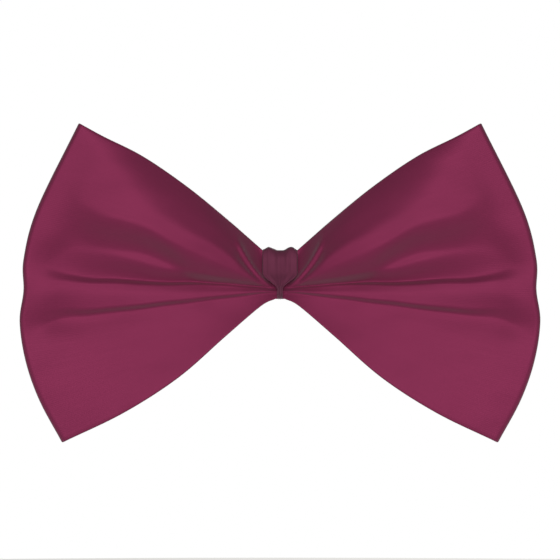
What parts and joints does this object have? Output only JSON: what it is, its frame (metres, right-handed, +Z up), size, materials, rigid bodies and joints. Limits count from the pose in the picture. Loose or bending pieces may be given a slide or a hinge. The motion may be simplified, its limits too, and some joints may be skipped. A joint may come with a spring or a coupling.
{
  "type": "clip-on bow tie",
  "caption": "Pre-tied satin bow tie, a folded and gathered loop with a wrapped knot, on a sprung two-jaw steel collar clip.",
  "frame": {"origin": "centre of the clip saddle's flat rear face, which rests on the shirt front, at the clip's mid height", "axes": "+X along the bow to the wearer's left, +Y towards the wearer's collar, +Z up; the bow faces -Y"},
  "size_m": [0.1332, 0.0251, 0.0812],
  "materials": {
    "satin": "soft satin, plum red",
    "stiffener": "non-woven stiffener",
    "thread": "sewing thread matched to the satin",
    "nickel": "nickel-plated steel",
    "spring_steel": "drawn spring wire"
  },
  "bodies": {
    "tie": {"bow_satin": "satin", "interlining_left": "stiffener", "interlining_right": "stiffener", "gathering_thread": "thread", "knot_band": "satin", "band_seam_thread": "thread", "plate_stitch_left": "thread", "plate_stitch_right": "thread", "clip_plate": "nickel", "clip_saddle": "nickel", "saddle_rivet_top": "nickel", "saddle_rivet_bottom": "nickel", "hinge_pin_left": "nickel", "hinge_pin_right": "nickel", "spring_left": "spring_steel", "spring_right": "spring_steel"},
    "left_jaw": {"jaw_left": "nickel"},
    "right_jaw": {"jaw_right": "nickel"}
  },
  "joints": [
    {"name": "left_jaw_hinge", "type": "hinge", "parent": "tie", "child": "left_jaw", "pos_m": [-0.011, -0.0007, 0], "axis": [0, 0, -1], "range_deg": [0, 30], "stiffness_Nm_per_rad": 0.004, "springref_deg": -28.65, "deforming": ["spring_left"]},
    {"name": "right_jaw_hinge", "type": "hinge", "parent": "tie", "child": "right_jaw", "pos_m": [0.011, -0.0007, 0], "axis": [0, 0, 1], "range_deg": [0, 30], "stiffness_Nm_per_rad": 0.004, "springref_deg": -28.65, "deforming": ["spring_right"]}
  ]
}
